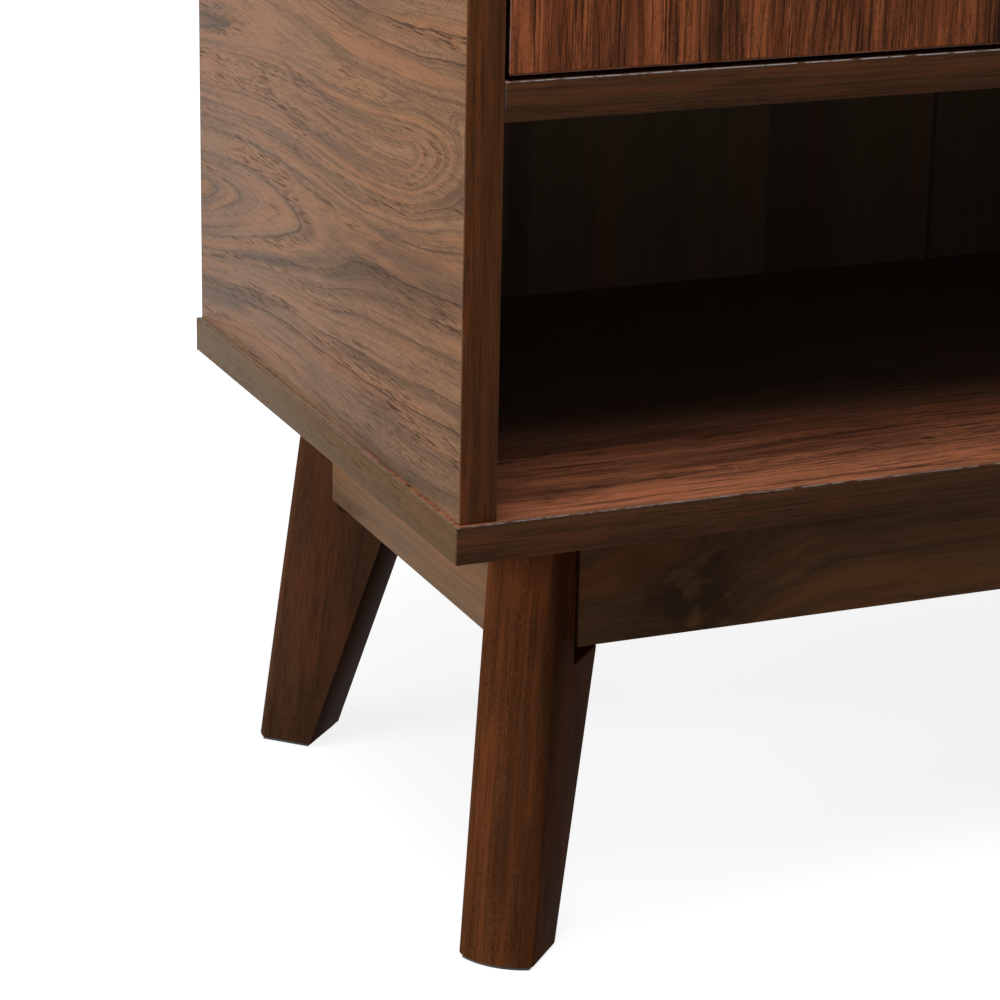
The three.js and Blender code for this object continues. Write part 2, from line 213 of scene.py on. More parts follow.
class Wires:
    """Puts nodes into a tree and joins them: a socket is joined, anything else is set."""

    def __init__(self, tree):
        self.tree = tree

    def fill(self, node, inputs):
        for key, value in inputs.items():
            if isinstance(value, bpy.types.NodeSocket):
                self.tree.links.new(value, node.inputs[key])
            else:
                node.inputs[key].default_value = value
        return node

    def put(self, kind, inputs=None, **settings):
        node = self.tree.nodes.new("ShaderNode" + kind)
        for name, value in settings.items():
            setattr(node, name, value)
        return self.fill(node, inputs or {})

    def math(self, operation, *values, clamp=False):
        node = self.put("Math", dict(enumerate(values)), operation=operation, use_clamp=clamp)
        return node.outputs[0]

    def vector(self, operation, *values):
        node = self.put("VectorMath", dict(enumerate(values)), operation=operation)
        single = operation in ("DOT_PRODUCT", "LENGTH", "DISTANCE")
        return node.outputs["Value" if single else "Vector"]

    def split(self, vector):
        return self.put("SeparateXYZ", {0: vector}).outputs

    def gather(self, x=0.0, y=0.0, z=0.0):
        return self.put("CombineXYZ", {0: x, 1: y, 2: z}).outputs[0]

    def noise(self, place, along, across, detail=2.0, roughness=0.5):
        """Noise drawn out along the grain: cycles to the metre along it and across it."""
        stretched = self.vector("MULTIPLY", place, (along, across, across))
        return self.put("TexNoise", {"Vector": stretched, "Scale": 1.0, "Detail": detail,
                                     "Roughness": roughness}).outputs["Fac"]

    def ease(self, value, low, high, to_low=0.0, to_high=1.0):
        """Smooth step of a value from low to high."""
        node = self.put("MapRange", {"Value": value, "From Min": low, "From Max": high,
                                     "To Min": to_low, "To Max": to_high},
                        interpolation_type="SMOOTHSTEP")
        return node.outputs["Result"]

    def mix(self, amount, colour, other):
        return self.put("Mix", {0: amount, 6: colour, 7: other}, data_type="RGBA").outputs[2]

    def between(self, value, begins, full, fades, ends):
        """1 from full to fades, and 0 before it begins and after it ends."""
        return self.math("MULTIPLY", self.ease(value, begins, full),
                         self.ease(value, fades, ends, 1.0, 0.0))


def new_group(name, inputs, outputs):
    """A shader node group. Inputs map a name to a kind, or to a value's starting number."""
    group = bpy.data.node_groups.new(name, "ShaderNodeTree")
    kinds = {"vector": "NodeSocketVector", "colour": "NodeSocketColor", "value": "NodeSocketFloat"}
    for label, start in inputs.items():
        kind = start if isinstance(start, str) else "value"
        socket = group.interface.new_socket(label, in_out="INPUT", socket_type=kinds[kind])
        if kind != start:
            socket.default_value = start
    for label, kind in outputs.items():
        group.interface.new_socket(label, in_out="OUTPUT", socket_type=kinds[kind])
    w = Wires(group)
    given = group.nodes.new("NodeGroupInput").outputs
    result = group.nodes.new("NodeGroupOutput")
    return w, given, result


def use(w, group, inputs):
    node = w.tree.nodes.new("ShaderNodeGroup")
    node.node_tree = group
    return w.fill(node, inputs).outputs


# ---------------------------------------------------------------- walnut

def walnut_group():
    """Sawn walnut in its own space: X along the grain, Y across it, Z into the board.

    The growth rings run along the board and sway with the trunk. They part round two hearts:
    each is a tongue of nested arches that narrows over its closing length and points to +X
    at its tip. The lean says how much wider or narrower it is above its heart than below.
    """
    w, given, result = new_group(
        "sawn walnut",
        {"Place": "vector", "Seed": 0.0,
         "Heart": 0.1, "Heart Slope": 0.0, "Heart Width": 0.020, "Heart Lean": 1.0,
         "Tip": 0.3, "Closing": 0.4, "Arch": 0.03,
         "Other Heart": 0.3, "Other Slope": 0.0, "Other Width": 0.020, "Other Lean": 1.0,
         "Other Tip": 0.3, "Other Closing": 0.4, "Other Arch": 0.0,
         "Sway": 0.0, "Sway Length": 0.18, "Sway Start": 0.0, "Wander": 0.012,
         "Ring Width": 0.008, "Ring Shift": 0.0, "Rings": 1.0, "Pores": 1.0, "Smoke": 1.0,
         "Streaks": 1.0, "Streak Pitch": 0.0105, "Strands": 0.4, "Grit": 0.5,
         "Light": "colour", "Middle": "colour", "Dark": "colour", "Smoky": "colour",
         "Warm": "colour"},
        {"Color": "colour", "Roughness": "value", "Height": "value"})
    seed = given["Seed"]
    own_spot = w.gather(*(w.math("MULTIPLY", seed, stride) for stride in (1.37, 0.71, 2.13)))
    place = w.vector("ADD", given["Place"], own_spot)

    # the tree grew crooked: the grain wanders slowly, and shakes a little on the way
    slow = w.math("SUBTRACT", w.noise(place, 3.0, 9.0, detail=1.0), 0.5)
    middling = w.math("SUBTRACT", w.noise(place, 11.0, 36.0, detail=2.0), 0.5)
    quick = w.math("SUBTRACT", w.noise(place, 75.0, 190.0, detail=2.0, roughness=0.6), 0.5)
    wander = w.math("MULTIPLY_ADD", middling, 0.55, w.math("MULTIPLY_ADD", quick, 0.18, slow))
    along, across, depth = w.split(given["Place"])
    across = w.math("MULTIPLY_ADD", wander, given["Wander"], across)

    round_turn = w.math("DIVIDE", w.math("SUBTRACT", along, given["Sway Start"]),
                        given["Sway Length"])
    sway = w.math("SINE", w.math("MULTIPLY", round_turn, 2 * math.pi))
    across = w.math("MULTIPLY_ADD", sway, given["Sway"], across)

    def tongue(heart, width, lean, tip, closing, arch):
        offset = w.math("DIVIDE", w.math("SUBTRACT", across, heart), width)
        above = w.math("DIVIDE", w.math("MAXIMUM", offset, 0.0), lean)
        offset = w.math("ADD", above, w.math("MINIMUM", offset, 0.0))
        crest = w.math("EXPONENT", w.math("MULTIPLY", w.math("MULTIPLY", offset, offset), -1.0))
        short = w.math("DIVIDE", w.math("SUBTRACT", tip, along), closing)
        short = w.math("MINIMUM", w.math("SMOOTH_MAX", short, 0.0, 0.25), 1.3)
        return w.math("MULTIPLY", w.math("MULTIPLY", crest, short), arch)

    heart = w.math("MULTIPLY_ADD", along, given["Heart Slope"], given["Heart"])
    rings = w.math("ADD", across, tongue(heart, given["Heart Width"], given["Heart Lean"],
                                         given["Tip"], given["Closing"], given["Arch"]))
    other_heart = w.math("MULTIPLY_ADD", along, given["Other Slope"], given["Other Heart"])
    rings = w.math("ADD", rings, tongue(other_heart, given["Other Width"],
                                        given["Other Lean"], given["Other Tip"],
                                        given["Other Closing"], given["Other Arch"]))
    rings = w.math("MULTIPLY_ADD", depth, 0.35, rings)

    # good and lean years: rings of uneven width and strength
    turn = w.math("ADD", w.math("DIVIDE", rings, given["Ring Width"]), given["Ring Shift"])
    years = w.put("TexNoise", {"Vector": w.gather(w.math("MULTIPLY", turn, 0.32), seed, 0.0),
                               "Scale": 1.0, "Detail": 1.0}).outputs["Fac"]
    turn = w.math("MULTIPLY_ADD", years, 2.0, turn)
    phase = w.math("FRACT", turn)
    year = w.math("ADD", w.math("FLOOR", turn), seed)
    strength = w.put("TexWhiteNoise", {"W": year}, noise_dimensions="1D").outputs["Value"]
    flow = w.gather(w.math("ADD", along, seed), rings, seed)
    kept = w.ease(w.noise(flow, 9.0, 120.0, detail=1.0), 0.34, 0.54, 0.25, 1.0)
    kept = w.math("MULTIPLY", kept, w.ease(strength, 0.05, 0.6, 0.45, 1.0))
    thin = w.between(phase, 0.88, 0.95, 0.96, 1.0)
    line = w.math("MULTIPLY", w.math("MULTIPLY", thin, kept), given["Rings"], clamp=True)
    soft = w.between(phase, 0.25, 0.97, 0.97, 1.0)
    shade = w.math("MULTIPLY", w.math("MULTIPLY", soft, strength), given["Rings"], clamp=True)

    # warm ribbons and smoky heartwood follow the rings; fibres and pores run straight
    long_way = w.math("DIVIDE", w.math("ADD", along, seed), given["Streak Pitch"])
    laid = w.gather(long_way, w.math("DIVIDE", rings, given["Streak Pitch"]), seed)
    ribbon = w.noise(laid, 0.08, 1.0, detail=2.0)
    warm = w.math("MULTIPLY", w.ease(ribbon, 0.48, 0.64), given["Streaks"], clamp=True)
    smoke = w.ease(w.noise(flow, 6.0, 42.0, detail=3.0, roughness=0.55), 0.48, 0.70)
    smoke = w.math("MULTIPLY", smoke, given["Smoke"], clamp=True)
    strand = w.noise(flow, 8.0, 330.0, detail=3.0, roughness=0.6)
    fibre = w.noise(place, 26.0, 640.0, detail=3.0, roughness=0.65)
    zone = w.ease(w.noise(flow, 7.0, 60.0, detail=2.0), 0.46, 0.62)
    zone = w.math("MAXIMUM", w.math("MAXIMUM", zone, 0.28), w.math("MULTIPLY", shade, 0.9))
    large = w.ease(w.noise(place, 48.0, 1450.0, detail=1.0), 0.60, 0.71)
    small = w.ease(w.noise(place, 130.0, 2900.0, detail=0.0), 0.58, 0.68, 0.0, 0.72)
    pores = w.math("MULTIPLY", w.math("MAXIMUM", large, small), zone)
    pores = w.math("MULTIPLY", pores, given["Pores"], clamp=True)

    thread = w.ease(w.noise(flow, 16.0, 900.0, detail=2.0, roughness=0.6), 0.52, 0.70)
    thread = w.math("MULTIPLY", thread, given["Strands"], clamp=True)
    aside = w.vector("ADD", flow, (0.37, 0.53, 0.0))
    fair = w.ease(w.noise(aside, 13.0, 640.0, detail=2.0, roughness=0.65), 0.56, 0.74, 0.0, 0.8)
    fair = w.math("MULTIPLY", fair, given["Strands"], clamp=True)

    # the cut ends of fibres leave a fine grit all over
    grit = w.math("SUBTRACT", w.noise(place, 560.0, 1700.0, detail=2.0, roughness=0.7), 0.5)
    grit = w.math("MULTIPLY", grit, given["Grit"])
    tone = w.math("MULTIPLY_ADD", strand, 0.75, w.math("MULTIPLY", fibre, 0.55))
    tone = w.math("ADD", tone, grit)
    colour = w.mix(w.ease(tone, 0.45, 0.85), given["Middle"], given["Light"])
    colour = w.mix(warm, colour, given["Warm"])
    colour = w.mix(smoke, colour, given["Smoky"])
    colour = w.mix(fair, colour, given["Light"])
    colour = w.mix(thread, colour, given["Dark"])
    colour = w.mix(w.math("MULTIPLY", shade, 0.26), colour, given["Dark"])
    colour = w.mix(w.math("MULTIPLY", line, 0.70), colour, given["Dark"])
    colour = w.mix(pores, colour, given["Dark"])
    w.tree.links.new(colour, result.inputs["Color"])

    rough = w.math("MULTIPLY_ADD", fibre, 0.16, 0.36)
    rough = w.math("MULTIPLY_ADD", pores, 0.20, rough)
    w.tree.links.new(rough, result.inputs["Roughness"])
    height = w.math("MULTIPLY_ADD", fibre, 0.35, w.math("MULTIPLY", pores, -0.8))
    height = w.math("MULTIPLY_ADD", line, -0.25, height)
    w.tree.links.new(height, result.inputs["Height"])
    return w.tree


def arris_group():
    """Softened edges, where the print is thin and hands rub, and where edges catch the light: the
    given colour breaks through, partly as wear and partly as a painted highlight.
    """
    w, given, result = new_group(
        "rubbed arris",
        {"Color": "colour", "Place": "vector", "Rubbed And Highlit": "colour", "Amount": 0.5,
         "Underside": 0.0},
        {"Color": "colour", "Mask": "value"})
    edge = w.put("Attribute", attribute_name="arris", attribute_type="GEOMETRY").outputs["Fac"]
    patch = w.put("TexNoise", {"Vector": given["Place"], "Scale": 130.0, "Detail": 3.0,
                               "Roughness": 0.65}).outputs["Fac"]
    # painted highlight and wear: upper edges, which catch the light from above, are paled most,
    # upright ones less, and lower ones only where asked for
    upward = w.split(w.put("NewGeometry").outputs["Normal"])[2]
    upward_weight = w.math("ADD", w.ease(upward, -0.30, -0.05, 0.0, 0.15),
                     w.ease(upward, 0.05, 0.5, 0.0, 0.85))
    upward_weight = w.math("MAXIMUM", upward_weight, given["Underside"])
    wear_highlight_mask = w.math("MULTIPLY", w.math("MULTIPLY", edge, upward_weight), w.ease(patch, 0.36, 0.62))
    mask = w.math("MULTIPLY", wear_highlight_mask, given["Amount"], clamp=True)
    w.tree.links.new(w.mix(mask, given["Color"], given["Rubbed And Highlit"]), result.inputs["Color"])
    w.tree.links.new(mask, result.inputs["Mask"])
    return w.tree


def speck_group():
    """A few pale specks of grime and tiny chips."""
    w, given, result = new_group(
        "specks", {"Color": "colour", "Place": "vector", "Amount": 0.5, "Pale": "colour"},
        {"Color": "colour"})
    cells = w.put("TexVoronoi", {"Vector": given["Place"], "Scale": 160.0}, feature="F1")
    chance = w.math("GREATER_THAN", w.split(cells.outputs["Color"])[0], 0.93)
    size = w.math("MULTIPLY", w.split(cells.outputs["Color"])[1], 0.085)
    dot = w.math("LESS_THAN", cells.outputs["Distance"], size)
    mask = w.math("MULTIPLY", w.math("MULTIPLY", chance, dot), given["Amount"], clamp=True)
    w.tree.links.new(w.mix(mask, given["Color"], given["Pale"]), result.inputs["Color"])
    return w.tree


def knot_group():
    """A knot: the grain parts round its eye, which is dark and ringed."""
    w, given, result = new_group("knot", {"Place": "vector", "Eye": "vector"},
                                 {"Place": "vector", "Shade": "value"})
    offset = w.vector("SUBTRACT", given["Place"], given["Eye"])
    shaken = w.put("TexNoise", {"Vector": given["Place"], "Scale": 45.0,
                                "Detail": 2.0}).outputs["Fac"]
    reach = w.vector("LENGTH", w.vector("MULTIPLY", offset, (0.8, 1.0, 1.0)))
    reach = w.math("MULTIPLY_ADD", w.math("SUBTRACT", shaken, 0.5), 0.030, reach)
    near = w.ease(reach, 0.004, 0.055, 1.0, 0.0)
    along, across, depth = w.split(given["Place"])
    squeezed = w.math("MULTIPLY", w.math("MULTIPLY", w.split(offset)[1], near), -0.8)
    parted = w.gather(along, w.math("ADD", across, squeezed), depth)
    w.tree.links.new(parted, result.inputs["Place"])
    flecks = w.ease(w.noise(parted, 70.0, 260.0, detail=2.0), 0.50, 0.68)
    flecks = w.math("MULTIPLY", flecks, w.ease(reach, 0.004, 0.026, 0.6, 0.0))
    cloud = w.ease(reach, 0.002, 0.042, 0.85, 0.0)
    w.tree.links.new(w.math("MAXIMUM", w.math("SUBTRACT", cloud, flecks), 0.0),
                     result.inputs["Shade"])
    return w.tree


WALNUT = walnut_group()
KNOT = knot_group()
ARRIS = arris_group()
SPECKS = speck_group()


def new_material(name, colour=(0.2, 0.2, 0.2)):
    material = bpy.data.materials.new(name)
    material.use_nodes = True
    material.diffuse_color = (*colour, 1.0)
    tree = material.node_tree
    tree.nodes.clear()
    w = Wires(tree)
    shader = w.put("BsdfPrincipled")
    output = w.put("OutputMaterial", {"Surface": shader.outputs[0]})
    output.is_active_output = True
    return material, w, shader


def grain_place(w, along, across, through, start):
    """Object place turned so that X runs along the grain, from a starting corner."""
    spot = w.put("TexCoord").outputs["Object"]
    spot = w.vector("SUBTRACT", spot, tuple(start))
    ways = (along, across, through)
    return w.gather(*(w.vector("DOT_PRODUCT", spot, tuple(way)) for way in ways))


def rgb(red, green, blue):
    """A linear colour from the 0-255 numbers of a colour chart."""
    def linear(value):
        value /= 255
        return value / 12.92 if value <= 0.04045 else ((value + 0.055) / 1.055) ** 2.4
    return (linear(red), linear(green), linear(blue), 1.0)


# Tones of each walnut finish: fibres run from middle to light, pores and rings are dark, and
# smoky and warm are the heartwood's clouds and ribbons.
SIDE_TONES = {"Light": rgb(143, 107, 80), "Middle": rgb(111, 82, 60), "Dark": rgb(55, 40, 29),
              "Smoky": rgb(91, 71, 55), "Warm": rgb(146, 103, 73)}
FRONT_TONES = {"Light": rgb(170, 96, 59), "Middle": rgb(57, 32, 18), "Dark": rgb(37, 21, 13),
               "Smoky": rgb(46, 27, 17), "Warm": rgb(118, 64, 38)}
INNER_TONES = {"Light": rgb(152, 94, 66), "Middle": rgb(92, 55, 38), "Dark": rgb(38, 23, 15),
               "Smoky": rgb(64, 39, 27), "Warm": rgb(150, 90, 62)}
STILE_TONES = {"Light": rgb(102, 60, 33), "Middle": rgb(78, 45, 23), "Dark": rgb(42, 25, 14),
               "Smoky": rgb(62, 38, 21), "Warm": rgb(108, 61, 32)}
EDGE_TONES = {"Light": rgb(80, 51, 31), "Middle": rgb(60, 38, 22), "Dark": rgb(34, 23, 14),
              "Smoky": rgb(50, 34, 21), "Warm": rgb(83, 49, 29)}
# painted light: the flank bands are the edge bands' walnut painted lighter, for the stronger light
# on the sides
LIT_FLANK_TONES = {"Light": rgb(96, 71, 44), "Middle": rgb(83, 61, 37), "Dark": rgb(58, 43, 27),
               "Smoky": rgb(76, 57, 36), "Warm": rgb(98, 69, 41)}
LEG_TONES = {"Light": rgb(98, 57, 32), "Middle": rgb(71, 40, 22), "Dark": rgb(40, 24, 15),
             "Smoky": rgb(52, 32, 20), "Warm": rgb(102, 56, 30)}
REAR_LEG_TONES = {"Light": rgb(82, 53, 36), "Middle": rgb(65, 43, 29), "Dark": rgb(39, 27, 19),
                  "Smoky": rgb(50, 34, 24), "Warm": rgb(86, 52, 34)}
RAIL_TONES = {"Light": rgb(127, 92, 65), "Middle": rgb(108, 77, 53), "Dark": rgb(52, 38, 27),
              "Smoky": rgb(80, 59, 43), "Warm": rgb(138, 91, 58)}
END_RAIL_TONES = {"Light": rgb(128, 99, 74), "Middle": rgb(109, 84, 62), "Dark": rgb(56, 42, 31),
                  "Smoky": rgb(86, 66, 50), "Warm": rgb(136, 96, 68)}
# pale arris tones: edge wear and chips, partly a painted highlight where edges catch the light
RUBBED_AND_HIGHLIT = rgb(150, 112, 84)
CHIPPED_AND_HIGHLIT = rgb(136, 132, 134)
PALE = rgb(205, 190, 172)
# grey of the painted haze in deep shade
HAZE_GREY = rgb(108, 98, 85)


# Figures, from a board's starting corner, in metres. The sides' hearts lie along the board.
LEFT_SIDE_FIGURE = {
    "Heart": 0.063, "Heart Slope": 0.048, "Heart Width": 0.036, "Heart Lean": 0.38,
    "Tip": 0.199, "Closing": 0.150, "Arch": 0.0675,
    "Other Heart": 0.1187, "Other Slope": 0.045, "Other Width": 0.018, "Other Lean": 0.62,
    "Other Tip": 0.316, "Other Closing": 0.048, "Other Arch": 0.061,
    "Sway": -0.0034, "Sway Length": 0.242, "Sway Start": 0.029, "Wander": 0.009,
    "Ring Width": 0.012, "Pores": 1.1, "Streaks": 0.85, "Smoke": 0.9, "Grit": 0.7}
RIGHT_SIDE_FIGURE = {
    "Heart": 0.11, "Heart Width": 0.026, "Tip": 0.26, "Closing": 0.25, "Arch": 0.060,
    "Other Heart": 0.27, "Other Tip": 0.34, "Other Closing": 0.10, "Other Arch": 0.045,
    "Sway": 0.003, "Sway Length": 0.22, "Wander": 0.010, "Ring Width": 0.012, "Grit": 0.7}
WIDE_FIGURE = {
    "Heart Width": 0.026, "Tip": 0.46, "Closing": 0.35, "Arch": 0.060,
    "Other Tip": 0.30, "Other Closing": 0.20, "Other Arch": 0.045,
    "Sway": 0.004, "Sway Length": 0.31, "Wander": 0.012, "Ring Width": 0.012}
TOP_FIGURE = {**WIDE_FIGURE, "Heart": 0.09, "Other Heart": 0.09 + 0.14, "Smoke": 0.7}
BASE_FIGURE = {
    **WIDE_FIGURE, "Heart": 0.13, "Other Heart": 0.13 + 0.14, "Streak Pitch": 0.005,
    "Pores": 1.3, "Strands": 1.0, "Rings": 0.4, "Smoke": 0.6, "Grit": 0.5}
FRONT_FIGURE = {
    "Heart": 0.121, "Heart Width": 0.016, "Tip": 0.10, "Closing": 0.25, "Arch": 0.026,
    "Other Heart": 0.247, "Other Width": 0.016, "Other Tip": 0.10, "Other Closing": 0.3,
    "Other Arch": 0.026, "Wander": 0.0067, "Ring Width": 0.011, "Ring Shift": 8.0,
    "Streaks": 1.0, "Smoke": 0.78, "Streak Pitch": 0.0129, "Rings": 0.3, "Pores": 0.9,
    "Strands": 1.0, "Grit": 0.35}
BAND_FIGURE = {
    "Arch": 0.0, "Ring Width": 0.007, "Wander": 0.002, "Smoke": 0.4, "Streaks": 1.0,
    "Streak Pitch": 0.0035, "Pores": 0.8, "Rings": 0.25, "Strands": 0.6}
CALM_BAND_FIGURE = {
    **BAND_FIGURE, "Smoke": 0.1, "Streaks": 0.25, "Strands": 0.15, "Rings": 0.1}
LEG_FIGURE = {
    "Arch": 0.0, "Ring Width": 0.009, "Wander": 0.003, "Smoke": 0.6, "Streaks": 1.0,
    "Streak Pitch": 0.006, "Pores": 0.5, "Rings": 0.2, "Strands": 0.4, "Grit": 1.1}
APRON_FIGURE = {
    "Arch": 0.0, "Ring Width": 0.010, "Wander": 0.016, "Smoke": 0.9, "Streaks": 0.9,
    "Streak Pitch": 0.016, "Pores": 0.2, "Rings": 0.4, "Strands": 0.2}
KNOB_FIGURE = {"Arch": 0.0, "Ring Width": 0.004, "Wander": 0.004, "Pores": 0.6}


def walnut(name, tones, along, across, start, seed=0.0, bump=0.35, rubbed_and_highlit=0.5, gloss=0.05,
           rubbed_and_highlit_tone=RUBBED_AND_HIGHLIT, underside=0.0, gap_shade_tone=None, knot=None, deep_shade_haze=None, **figure):
    """A walnut finish whose grain runs along one way of the piece, from a starting corner."""
    material, w, shader = new_material(name, tones["Middle"][:3])
    place = grain_place(w, along, across, along.cross(across), start)
    if knot:
        eye = use(w, KNOT, {"Place": place, "Eye": (*knot, 0.0)})
        wood = use(w, WALNUT, {"Place": eye["Place"], "Seed": seed, **tones, **figure})
        bare = w.mix(eye["Shade"], wood["Color"], tones["Dark"])
    else:
        wood = use(w, WALNUT, {"Place": place, "Seed": seed, **tones, **figure})
        bare = wood["Color"]
    if deep_shade_haze:
        # painted shade haze: from one depth to another the colour turns grey, for the neutral look
        # of the deep shade at the back
        begins, ends, haze_amount = deep_shade_haze
        depth = w.split(w.put("TexCoord").outputs["Object"])[1]
        bare = w.mix(w.ease(depth, begins, ends, 0.0, haze_amount), bare, HAZE_GREY)
    # painted shade: faces that don't face the front, such as a drawer front's narrow faces in the
    # gaps round it, take the dark gap tone
    if gap_shade_tone:
        forward = w.math("ABSOLUTE", w.split(w.put("NewGeometry").outputs["Normal"])[1])
        bare = w.mix(w.ease(forward, 0.1, 0.5, 1.0, 0.0), bare, gap_shade_tone)
    worn_and_highlit = use(w, ARRIS, {"Color": bare, "Place": place, "Rubbed And Highlit": rubbed_and_highlit_tone,
                          "Amount": rubbed_and_highlit, "Underside": underside})
    dusty = use(w, SPECKS, {"Color": worn_and_highlit["Color"], "Place": place, "Amount": 0.5, "Pale": PALE})
    raised = w.put("Bump", {"Strength": bump, "Distance": 0.00025, "Height": wood["Height"]})
    w.fill(shader, {"Base Color": dusty["Color"], "Roughness": wood["Roughness"],
                    "Specular IOR Level": gloss, "Normal": raised.outputs[0]})
    return material


# ---------------------------------------------------------------- other finishes

def raw_wood(name, along, across, start, seed):
    """Planed softwood: straight pale grain with darker summer rings."""
    tones = {"Light": rgb(214, 178, 128), "Middle": rgb(198, 158, 108), "Dark": rgb(150, 104, 62),
             "Smoky": rgb(186, 146, 100), "Warm": rgb(206, 160, 104)}
    material, w, shader = new_material(name, tones["Middle"][:3])
    place = grain_place(w, along, across, along.cross(across), start)
    wood = use(w, WALNUT, {"Place": place, "Seed": seed, "Arch": 0.0, "Ring Width": 0.0045,
                           "Wander": 0.005, "Pores": 0.25, "Smoke": 0.4, **tones})
    raised = w.put("Bump", {"Strength": 0.5, "Distance": 0.0003, "Height": wood["Height"]})
    w.fill(shader, {"Base Color": wood["Color"], "Normal": raised.outputs[0],
                    "Roughness": w.math("ADD", wood["Roughness"], 0.32),
                    "Specular IOR Level": 0.25})
    return material


def box_foil():
    """Matt linen foil of the drawer boxes: a fine woven print, a little grubby."""
    material, w, shader = new_material("linen_foil", rgb(205, 196, 180)[:3])
    place = w.put("TexCoord").outputs["Object"]
    slub, pitch = 300.0, 2400.0      # yarns to the metre along themselves and side by side
    yarns = [w.put("TexNoise", {"Vector": w.vector("MULTIPLY", place, lay), "Scale": 1.0,
                                "Detail": 1.0}).outputs["Fac"]
             for lay in ((slub, pitch, pitch), (pitch, slub, pitch), (pitch, pitch, slub))]
    cloud = w.noise(place, 9.0, 9.0, detail=3.0)
    weave = w.math("DIVIDE", w.math("ADD", w.math("ADD", yarns[0], yarns[1]), yarns[2]), 3.0)
    colour = w.mix(w.ease(weave, 0.40, 0.60), rgb(188, 178, 160), rgb(211, 203, 188))
    colour = w.mix(w.ease(cloud, 0.45, 0.8, 0.0, 0.25), colour, rgb(178, 166, 146))
    worn_and_highlit = use(w, ARRIS, {"Color": colour, "Place": place, "Rubbed And Highlit": rgb(168, 140, 106),
                          "Amount": 0.55})
    raised = w.put("Bump", {"Strength": 0.25, "Distance": 0.0002, "Height": weave})
    w.fill(shader, {"Base Color": worn_and_highlit["Color"], "Normal": raised.outputs[0],
                    "Roughness": w.ease(cloud, 0.3, 0.7, 0.50, 0.62),
                    "Specular IOR Level": 0.35})
    return material


def hardboard():
    """The back: printed walnut towards the drawers, bare brown fibreboard behind."""
    low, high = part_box("back_panel")
    material, w, shader = new_material("back_sheet", rgb(104, 86, 62)[:3])
    place = grain_place(w, Z, X, Y, low)
    tones = {"Light": rgb(120, 105, 86), "Middle": rgb(115, 100, 82), "Dark": rgb(62, 54, 46),
             "Smoky": rgb(96, 84, 70), "Warm": rgb(143, 107, 82)}
    wood = use(w, WALNUT, {"Place": place, "Seed": 4.2, "Arch": 0.0, "Ring Width": 0.03,
                           "Wander": 0.004, "Pores": 0.2, "Rings": 0.1, "Smoke": 0.3,
                           "Streaks": 0.7, "Streak Pitch": 0.02, "Strands": 0.0, "Grit": 0.3,
                           **tones})
    spot = w.put("TexCoord").outputs["Object"]
    width = w.split(spot)[0]
    # the print is laid up in strips of veneer of different tone, with one open seam
    strip = w.math("MULTIPLY", w.between(width, -0.108, -0.102, -0.097, -0.090), 0.55)
    dull = w.math("MULTIPLY", w.between(width, 0.029, 0.031, 0.055, 0.080), 0.45)
    seam = w.math("MULTIPLY", w.between(width, 0.1182, 0.1192, 0.1202, 0.1214), 0.72)
    shade = w.math("MAXIMUM", strip, w.math("MAXIMUM", dull, seam))
    print_colour = w.mix(shade, wood["Color"], tones["Dark"])
    felt = w.put("TexNoise", {"Vector": spot, "Scale": 900.0, "Detail": 3.0,
                              "Roughness": 0.7}).outputs["Fac"]
    cloud = w.put("TexNoise", {"Vector": spot, "Scale": 14.0, "Detail": 3.0}).outputs["Fac"]
    fibre = w.mix(w.ease(felt, 0.35, 0.65), rgb(112, 80, 54), rgb(142, 106, 74))
    fibre = w.mix(w.ease(cloud, 0.4, 0.8, 0.0, 0.4), fibre, rgb(104, 74, 50))
    behind = w.math("GREATER_THAN", w.split(w.put("NewGeometry").outputs["Normal"])[1], 0.5)
    raised = w.put("Bump", {"Strength": 0.12, "Distance": 0.0003, "Height": w.math(
        "MULTIPLY_ADD", behind, felt, wood["Height"])})
    w.fill(shader, {"Base Color": w.mix(behind, print_colour, fibre),
                    "Roughness": w.math("MULTIPLY_ADD", behind, 0.3, wood["Roughness"]),
                    "Specular IOR Level": 0.05, "Normal": raised.outputs[0]})
    return material


def zinc_plate():
    """Zinc-plated steel: pale spangle, fine drawn lines along the length, dull patches."""
    material, w, shader = new_material("zinc_plate", (0.62, 0.63, 0.65))
    place = w.put("TexCoord").outputs["Object"]
    drawn = w.put("TexNoise", {"Vector": w.vector("MULTIPLY", place, (2600.0, 30.0, 2600.0)),
                               "Scale": 1.0, "Detail": 2.0}).outputs["Fac"]
    cloud = w.put("TexNoise", {"Vector": place, "Scale": 60.0, "Detail": 4.0,
                               "Roughness": 0.6}).outputs["Fac"]
    colour = w.mix(w.ease(cloud, 0.35, 0.7), (0.66, 0.67, 0.69, 1), (0.52, 0.54, 0.58, 1))
    worn_and_highlit = use(w, ARRIS, {"Color": colour, "Place": place, "Rubbed And Highlit": (0.78, 0.78, 0.78, 1),
                          "Amount": 0.8})
    rough = w.math("MULTIPLY_ADD", drawn, 0.14, w.ease(cloud, 0.3, 0.7, 0.24, 0.38))
    raised = w.put("Bump", {"Strength": 0.12, "Distance": 0.0001, "Height": drawn})
    w.fill(shader, {"Base Color": worn_and_highlit["Color"], "Metallic": 1.0, "Roughness": rough,
                    "Normal": raised.outputs[0]})
    return material


